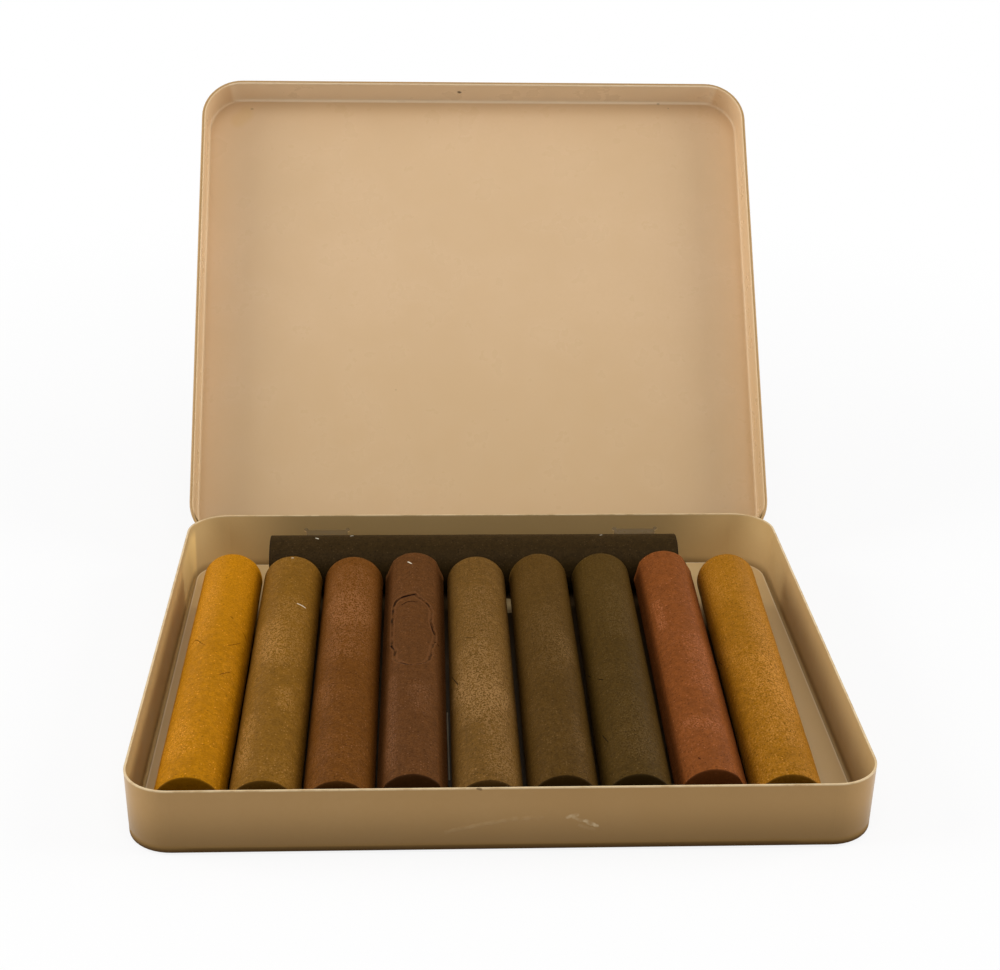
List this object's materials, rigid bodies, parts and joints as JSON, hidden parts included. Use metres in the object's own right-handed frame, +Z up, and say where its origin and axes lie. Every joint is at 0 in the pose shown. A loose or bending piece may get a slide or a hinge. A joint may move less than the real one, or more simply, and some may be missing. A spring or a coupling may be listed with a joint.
{
  "type": "tin of furniture repair wax sticks",
  "caption": "Flat hinged tin, shown open, holding round wax filler sticks in wood colours for furniture repair, laid side by side with another across behind them.",
  "frame": {"origin": "bottom centre of the whole box with the lid open, on the surface that the tin stands on", "axes": "+X to the right, +Y from the front of the tray to the hinge, +Z up"},
  "size_m": [0.1482, 0.2168, 0.1074],
  "materials": {
    "tray_paint": "satin",
    "lid_paint": "satin",
    "wax_ochre": "waxy matte",
    "wax_olive": "waxy matte",
    "wax_red_brown": "waxy matte",
    "wax_maroon": "waxy matte",
    "wax_tan": "waxy matte",
    "wax_dark_olive": "waxy matte",
    "wax_umber": "waxy matte",
    "wax_brick": "waxy matte",
    "wax_amber": "waxy matte",
    "wax_black": "waxy matte"
  },
  "bodies": {
    "tray": {"tray": "tray_paint"},
    "lid": {"lid": "lid_paint"},
    "stick_ochre": {"stick_ochre": "wax_ochre"},
    "stick_olive": {"stick_olive": "wax_olive"},
    "stick_red_brown": {"stick_red_brown": "wax_red_brown"},
    "stick_maroon": {"stick_maroon": "wax_maroon"},
    "stick_tan": {"stick_tan": "wax_tan"},
    "stick_dark_olive": {"stick_dark_olive": "wax_dark_olive"},
    "stick_umber": {"stick_umber": "wax_umber"},
    "stick_brick": {"stick_brick": "wax_brick"},
    "stick_amber": {"stick_amber": "wax_amber"},
    "stick_black": {"stick_black": "wax_black"}
  },
  "joints": [
    {"name": "lid_hinge", "type": "hinge", "parent": "tray", "child": "lid", "pos_m": [0, 0.01994, 0.0068], "axis": [-1, 0, 0], "range_deg": [-129.2, 0]},
    {"name": "stick_ochre_lift", "type": "slide", "parent": "tray", "child": "stick_ochre", "axis": [0, 0, 1], "range_m": [0, 0.025]},
    {"name": "stick_olive_lift", "type": "slide", "parent": "tray", "child": "stick_olive", "axis": [0, 0, 1], "range_m": [0, 0.025]},
    {"name": "stick_red_brown_lift", "type": "slide", "parent": "tray", "child": "stick_red_brown", "axis": [0, 0, 1], "range_m": [0, 0.025]},
    {"name": "stick_maroon_lift", "type": "slide", "parent": "tray", "child": "stick_maroon", "axis": [0, 0, 1], "range_m": [0, 0.025]},
    {"name": "stick_tan_lift", "type": "slide", "parent": "tray", "child": "stick_tan", "axis": [0, 0, 1], "range_m": [0, 0.025]},
    {"name": "stick_dark_olive_lift", "type": "slide", "parent": "tray", "child": "stick_dark_olive", "axis": [0, 0, 1], "range_m": [0, 0.025]},
    {"name": "stick_umber_lift", "type": "slide", "parent": "tray", "child": "stick_umber", "axis": [0, 0, 1], "range_m": [0, 0.025]},
    {"name": "stick_brick_lift", "type": "slide", "parent": "tray", "child": "stick_brick", "axis": [0, 0, 1], "range_m": [0, 0.025]},
    {"name": "stick_amber_lift", "type": "slide", "parent": "tray", "child": "stick_amber", "axis": [0, 0, 1], "range_m": [0, 0.025]},
    {"name": "stick_black_lift", "type": "slide", "parent": "tray", "child": "stick_black", "axis": [0, 0, 1], "range_m": [0, 0.025]}
  ]
}
